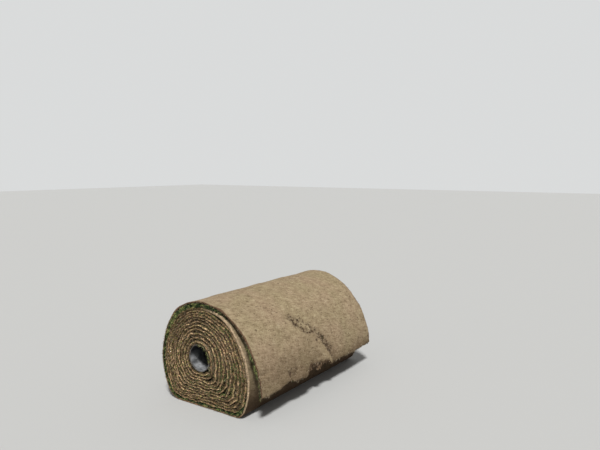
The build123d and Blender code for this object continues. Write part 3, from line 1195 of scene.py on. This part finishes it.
class Finish(Nodes):
    """Material that is put together from nodes."""

    def __init__(self, name):
        self.material = bpy.data.materials.new(name)
        self.material.use_nodes = True
        super().__init__(self.material.node_tree)
        self.shader = self.nodes["Principled BSDF"]

    def place(self):
        """Place in the frame of the part."""
        return self.nodes.new("ShaderNodeTexCoord").outputs["Object"]

    def attribute(self, name):
        node = self.nodes.new("ShaderNodeAttribute")
        node.attribute_name = name
        return node.outputs["Fac"]

    def noise(self, vector, scale, detail=4.0, rough=0.6):
        return self.add(
            "ShaderNodeTexNoise",
            {"Vector": vector, "Scale": scale, "Detail": detail, "Roughness": rough},
        )

    def streaks(self, vector, scale, turn, detail, rough):
        """Noise with its own scale in each direction, turned in the plane of the first two."""
        cell = tuple(1 / s for s in scale)
        stretched = self.add(
            "ShaderNodeMapping",
            {"Vector": vector, "Scale": cell, "Rotation": (0, 0, turn)},
            vector_type="TEXTURE",
        )
        return self.noise(stretched, 1.0, detail, rough)

    def bump(self, height, distance, strength=1.0):
        return self.add(
            "ShaderNodeBump", {"Height": height, "Distance": distance, "Strength": strength}
        )

    def done(self, tint, roughness, normal=None, **constants):
        """Feeds the shader. A constant's name has _ where its socket has a space."""
        sockets = self.shader.inputs
        self.feed(sockets["Base Color"], tint)
        self.feed(sockets["Roughness"], roughness)
        if normal is not None:
            self.feed(sockets["Normal"], normal)
        for key, value in constants.items():
            sockets[key.replace("_", " ")].default_value = value
        return self.material


def mat_tint(make, finish, strip, turn, painted_shade, fibres, mottle):
    """Dry root mat of the strip's outer face, with painted shade towards the ground and under the
    skirt, deeper on the turns below the last turn.
    """
    broad = make.noise(strip, 5.0, 2.0, 0.5)
    patches = make.noise(strip, 26.0, 4.0)
    specks = make.streaks(strip, (120, 24, 1), -0.26, 3.0, 0.6)
    long_streaks = make.streaks(strip, (95, 16, 1), -0.20, 3.0, 0.55)
    patchy = make.math("SUBTRACT", patches, 0.5)
    tone = make.weighed(
        (fibres, 0.38), (mottle, 0.26), (specks, 0.19), (long_streaks, 0.17), (patchy, 0.22)
    )
    mat = make.ramp(
        tone,
        [
            (0.385, finish.mat_dark),
            (0.475, finish.mat_middle),
            (0.56, finish.mat_light),
            (0.67, (0.56, 0.47, 0.32)),
        ],
    )
    warmth = make.ramp(broad, [(0.36, (0.978, 1.0, 0.955)), (0.64, (1.024, 0.993, 1.008))])
    mat = make.tinted(mat, warmth)
    # Painted shade by the mark that the pieces carry, and more of it on the turns below the last turn.
    mat = make.blend(painted_shade, mat, make.tinted(mat, (0.40, 0.35, 0.32)))
    deeper_shade = make.blend(painted_shade, mat, make.tinted(mat, (0.45, 0.42, 0.40)))
    return make.blend(make.span(turn, 11.8, 11.3), mat, deeper_shade)


def cut_tint(make, finish, place, turn, inside, grain, clods):
    """Cut ends of the strip: rough sod, with painted highlight on its crests and darker soil and
    painted shade towards the gaps between its turns, and the rind of the last turn.
    """
    hues = make.noise(place, 105.0, 2.0)
    # Across the strip: lightest on the raised crest, a painted highlight; darker soil towards the
    # middle; darkest at the recessed inner edge by the gap, painted shade.
    sod = make.ramp(
        inside,
        [
            (0.0, (0.125, 0.080, 0.045)),
            (0.13, finish.ridge),
            (0.33, finish.ridge),
            (0.50, (0.140, 0.098, 0.056)),
            (0.84, (0.105, 0.077, 0.042)),
            (1.0, (0.045, 0.040, 0.018)),
        ],
    )
    band = make.ramp(
        make.span(turn, 11.0, 12.25),
        [
            (0.24, (0.48, 0.36, 0.235)),
            (0.34, finish.rind),
            (0.62, finish.rind),
            (0.74, (0.13, 0.075, 0.045)),
        ],
    )
    rind = make.blend(make.span(inside, 0.55, 1.0), band, (0.08, 0.06, 0.03))
    dark = make.ramp(
        make.weighed((grain, 0.70), (clods, 0.30)),
        [
            (0.41, (0.20, 0.18, 0.16)),
            (0.48, (0.75, 0.73, 0.70)),
            (0.54, (1.25, 1.22, 1.15)),
            (0.60, (2.2, 2.1, 1.9)),
        ],
    )
    tinge = make.ramp(
        hues, [(0.38, (0.74, 0.94, 0.50)), (0.47, (1.0, 1.0, 1.0)), (0.60, (1.10, 0.95, 0.88))]
    )
    sod = make.blend(make.span(turn, 6.0, 9.5, 0.0, 0.45), sod, (0.175, 0.124, 0.070))
    faded = make.ramp(make.noise(place, 30.0, 2.0), [(0.38, (0.46, 0.44, 0.42)), (0.60, (1.1,) * 3)])
    sod = make.tinted(make.tinted(make.tinted(sod, faded), tinge), dark)
    rind = make.blend(0.55, rind, make.tinted(rind, dark))
    return make.blend(make.span(turn, 11.0, 11.05), sod, rind)


def turf_material(finish):
    """Strip of turf: fibrous outer mat, cut ends, grassy inner face and torn places."""
    make = Finish("turf_strip")
    strip, place = make.add("ShaderNodeUVMap", uv_map="strip"), make.place()
    inside, cut, torn, turn, painted_shade = (
        make.attribute(name) for name in ("inside", "cut", "torn", "turn", "painted_shade")
    )
    mottle = make.streaks(strip, (230, 80, 1), -0.12, 4.0, 0.7)
    fibres = make.math(
        "MAXIMUM",
        make.streaks(strip, (430, 70, 1), -0.38, 3.0, 0.65),
        make.streaks(strip, (320, 90, 1), 0.08, 3.0, 0.65),
    )
    grain, clods = make.noise(place, 175.0, 4.0, 0.68), make.noise(place, 75.0, 3.0, 0.6)
    thatch = make.ramp(
        mottle,
        [(0.38, (0.030, 0.030, 0.012)), (0.55, (0.085, 0.082, 0.032)), (0.7, (0.20, 0.155, 0.07))],
    )
    soil = make.ramp(
        grain, [(0.38, finish.soil), (0.55, (0.090, 0.056, 0.034)), (0.70, (0.26, 0.19, 0.12))]
    )
    mat = mat_tint(make, finish, strip, turn, painted_shade, fibres, mottle)
    body = make.blend(make.span(inside, 0.9, 0.98), mat, thatch)
    body = make.blend(cut, body, cut_tint(make, finish, place, turn, inside, grain, clods))
    # Tint of torn soil; along the crack's lower far side the same tint is painted shade of the hollow
    # beside the fold.
    body = make.blend(make.times(torn, 0.27), body, (0.17, 0.12, 0.075))
    bare = make.span(torn, 0.90, 0.97)
    lumps = make.ramp(
        clods, [(0.43, (0.16, 0.14, 0.14)), (0.48, (0.45, 0.41, 0.41)), (0.54, (1.10, 1.02, 1.00))]
    )
    body = make.blend(bare, body, make.tinted(body, lumps))
    dashes = make.streaks(strip, (105, 46, 1), -0.3, 2.0, 0.5)
    pits = make.span(make.math("ADD", dashes, make.times(torn, 0.24)), 0.66, 0.70)
    wander = make.noise(strip, 70.0).node.outputs["Color"]
    warped = make.add(
        "ShaderNodeVectorMath", {0: wander, 1: (0.016, 0.016, 0.0), 2: strip}, operation="MULTIPLY_ADD"
    )
    cells = make.add(
        "ShaderNodeTexVoronoi", {"Vector": warped, "Scale": 72.0}, feature="DISTANCE_TO_EDGE"
    )
    split = make.times(make.span(cells, 0.15, 0.06), make.span(torn, 0.20, 0.55, 0.0, 0.85))
    opened = make.math("MAXIMUM", make.times(split, 0.45), pits)
    body = make.blend(make.times(opened, make.span(torn, 0.90, 0.97, 1.0, 0.40)), body, soil)
    height = make.math("SUBTRACT", make.weighed((fibres, 0.6), (mottle, 0.6)), make.times(split, 0.9))
    return make.done(body, 0.95, make.bump(height, 0.0022, 0.9), Specular_IOR_Level=0.15)


def grass_material(finish):
    """Blades from dark to yellow green, some dry, by the tone of each blade, with painted shade towards
    their roots.
    """
    make = Finish("grass")
    tint = make.ramp(
        make.attribute("tone"),
        [
            (0.0, finish.grass_dark),
            (0.36, finish.grass_green),
            (0.66, finish.grass_light),
            (0.95, finish.grass_dry),
        ],
    )
    # Painted shade: each blade darkens towards its root.
    at_root = make.span(make.attribute("tip"), 0.0, 0.8, 0.75, 0.0)
    tint = make.blend(at_root, tint, (0.030, 0.036, 0.012))
    return make.done(tint, 0.55, Specular_IOR_Level=0.35)


def fibre_material(finish):
    """Dry root fibres, from brown to straw."""
    make = Finish("root_fibre")
    stops = [(0.05, (0.10, 0.066, 0.036)), (0.6, finish.mat_light), (1.0, (0.64, 0.55, 0.40))]
    return make.done(make.ramp(make.attribute("tone"), stops), 0.9, Specular_IOR_Level=0.15)


def crumb_material(finish):
    """Loose soil."""
    make = Finish("loose_soil")
    grain = make.noise(make.place(), 700.0, 4.0, 0.7)
    stops = [(0.35, finish.soil), (0.55, (0.14, 0.088, 0.052)), (0.72, (0.30, 0.22, 0.14))]
    bump = make.bump(grain, 0.001)
    return make.done(make.ramp(grain, stops), 0.97, bump, Specular_IOR_Level=0.1)


def pipe_material(finish):
    """Grey plastic pipe, scuffed and dusty, with painted shade on its upper half and deeper inside."""
    make = Finish("core_pipe")
    place = make.place()
    dust = make.noise(place, 30.0, 5.0, 0.65)
    scuffs = make.streaks(place, (12, 320, 320), 0.0, 4.0, 0.7)
    split = make.nodes.new("ShaderNodeSeparateXYZ")
    make.links.new(place, split.inputs[0])
    from_middle = make.math("ABSOLUTE", split.outputs["X"])
    shades = [tuple(c * bright for c in finish.pipe) for bright in (0.40, 1.45)]
    dusty = make.ramp(dust, [(0.38, shades[0]), (0.62, shades[1])])
    # Painted shade on the upper half of the pipe, above a height that the dust makes uneven.
    shaded_height = make.math("ADD", split.outputs["Z"], make.span(dust, 0.2, 0.8, -0.02, 0.02))
    tint = make.blend(make.span(shaded_height, 0.268, 0.312), dusty, (0.020, 0.020, 0.023))
    tint = make.blend(make.span(scuffs, 0.58, 0.72), tint, (0.12, 0.11, 0.095))
    grime = make.math("ADD", make.span(from_middle, 0.578, 0.5915), make.times(dust, 0.35))
    tint = make.blend(make.span(grime, 0.85, 1.25), tint, (0.10, 0.070, 0.042))
    # Painted shade deeper inside the pipe, growing from about five centimetres in from its ends.
    tint = make.blend(make.span(from_middle, 0.545, 0.43), tint, (0.012, 0.012, 0.014))
    tint = make.blend(make.span(from_middle, 0.5914, 0.5918, 0.0, 0.45), tint, dusty)
    rough = make.span(dust, 0.3, 0.7, 0.42, 0.68)
    return make.done(tint, rough, make.bump(scuffs, 0.0004, 0.6), Specular_IOR_Level=0.22)


# Operators


class TURF_OT_tight_turns(bpy.types.Operator):
    """Winds the tight turns round the pipe"""

    bl_idname = "turf.tight_turns"
    bl_label = "Tight Turns"

    def execute(self, context):
        winding = Winding(context.scene)
        material = turf_material(context.scene.turf_finish)
        tight_turns(winding, material)
        covered_turn(winding, material)
        return {"FINISHED"}


class TURF_OT_loose_end(bpy.types.Operator):
    """Lays the last turn over the crown, with its torn loose end"""

    bl_idname = "turf.loose_end"
    bl_label = "Loose End"

    def execute(self, context):
        winding, material = Winding(context.scene), bpy.data.materials["turf_strip"]
        loose_end(winding, material)
        tear_soil(winding, material)
        return {"FINISHED"}


class TURF_OT_grass(bpy.types.Operator):
    """Grows the blades between the turns and on the skirt's inner face"""

    bl_idname = "turf.grass"
    bl_label = "Grass"

    def execute(self, context):
        winding, material = Winding(context.scene), grass_material(context.scene.turf_finish)
        for end, place in ((-1, "near"), (1, "far")):
            ring_grass(winding, material, end, f"ring_grass_{place}_end")
            sod_grass(winding, material, end, f"sod_grass_{place}_end")
        skirt_grass(winding, material)
        return {"FINISHED"}


class TURF_OT_fibres(bpy.types.Operator):
    """Lays root fibres on the outer mat and crumbs of soil in its torn places"""

    bl_idname = "turf.fibres"
    bl_label = "Fibres and Soil"

    def execute(self, context):
        winding, material = Winding(context.scene), fibre_material(context.scene.turf_finish)
        mat_fibres(winding, material)
        end_thatch(winding, material, -1, "thatch_near_end")
        end_thatch(winding, material, 1, "thatch_far_end")
        soil_crumbs(winding, crumb_material(context.scene.turf_finish))
        return {"FINISHED"}


class TURF_OT_pipe(bpy.types.Operator):
    """Gives the core pipe its plastic"""

    bl_idname = "turf.pipe"
    bl_label = "Core Pipe"

    def execute(self, context):
        pipe = frame["nodes"]["core_pipe"]
        pipe.data.materials.clear()
        pipe.data.materials.append(pipe_material(context.scene.turf_finish))
        return {"FINISHED"}


class TURF_OT_stage(bpy.types.Operator):
    """Sets up the floor, the soft light and the camera"""

    bl_idname = "turf.stage"
    bl_label = "Stage"

    def execute(self, context):
        scene, stage = context.scene, context.scene.turf_stage
        width, below, sensor = 60, 0.0005, 36
        sun_width, from_sun = radians(9), Vector((-0.55, -0.42, 1))
        deselect_all()
        bpy.ops.mesh.primitive_plane_add(size=width, location=(0, 0, -below))
        floor = context.object
        floor.name = "floor"
        floor.data.materials.append(Finish("floor").done(stage.floor, 0.9, Specular_IOR_Level=0.1))
        bpy.ops.object.light_add(type="SUN", location=(0, 0, 3))
        key = context.object
        key.data.energy, key.data.angle = stage.sun, sun_width
        key.rotation_euler = from_sun.to_track_quat("Z", "Y").to_euler()
        scene.world = self.even_light(stage)
        bpy.ops.object.camera_add(location=stage.camera_place, rotation=stage.camera_turn)
        scene.camera = context.object
        scene.camera.data.sensor_width, scene.camera.data.lens = sensor, stage.lens
        scene.view_settings.view_transform = "Standard"
        return {"FINISHED"}

    def even_light(self, stage):
        """World that lights evenly, and shows the backdrop to the camera and to mirrors and glass."""
        world = bpy.data.worlds.new("even_light")
        world.use_nodes = True
        make = Nodes(world.node_tree)
        even = make.nodes["Background"]
        make.feed(even.inputs["Color"], (1, 1, 1))
        make.feed(even.inputs["Strength"], stage.sky)
        backdrop = make.add("ShaderNodeBackground", {"Color": stage.backdrop})
        rays = make.nodes.new("ShaderNodeLightPath").outputs
        mirrored = make.math("MAXIMUM", rays["Is Glossy Ray"], rays["Is Transmission Ray"])
        seen = make.math("MAXIMUM", rays["Is Camera Ray"], mirrored)
        mixed = make.add("ShaderNodeMixShader", {0: seen, 1: even.outputs[0], 2: backdrop})
        make.links.new(mixed, make.nodes["World Output"].inputs["Surface"])
        return world


class TURF_PT_roll(bpy.types.Panel):
    """Sizes, colours and steps of the roll of turf"""

    bl_label = "Roll of Turf"
    bl_idname = "TURF_PT_roll"
    bl_space_type = "VIEW_3D"
    bl_region_type = "UI"
    bl_category = "Turf"

    def draw(self, context):
        for group, _ in SETTINGS:
            settings, box = getattr(context.scene, group), self.layout.box()
            for key in settings.__annotations__:
                box.prop(settings, key)
        for step in OPERATORS:
            self.layout.operator(step.bl_idname)


SETTINGS = (
    ("turf_section", TurfSectionSettings),
    ("turf_strip", TurfStripSettings),
    ("turf_growth", TurfGrowthSettings),
    ("turf_finish", TurfFinishSettings),
    ("turf_stage", TurfStageSettings),
)
OPERATORS = (
    TURF_OT_tight_turns,
    TURF_OT_loose_end,
    TURF_OT_grass,
    TURF_OT_fibres,
    TURF_OT_pipe,
    TURF_OT_stage,
)


def register():
    for name, group in SETTINGS:
        bpy.utils.register_class(group)
        setattr(bpy.types.Scene, name, bpy.props.PointerProperty(type=group))
    for step in OPERATORS:
        bpy.utils.register_class(step)
    bpy.utils.register_class(TURF_PT_roll)


def unregister():
    bpy.utils.unregister_class(TURF_PT_roll)
    for step in reversed(OPERATORS):
        bpy.utils.unregister_class(step)
    for name, group in reversed(SETTINGS):
        delattr(bpy.types.Scene, name)
        bpy.utils.unregister_class(group)


def main():
    register()
    bpy.ops.turf.tight_turns()
    bpy.ops.turf.loose_end()
    bpy.ops.turf.grass()
    bpy.ops.turf.fibres()
    bpy.ops.turf.pipe()
    bpy.ops.turf.stage()


if __name__ == "__main__":
    main()
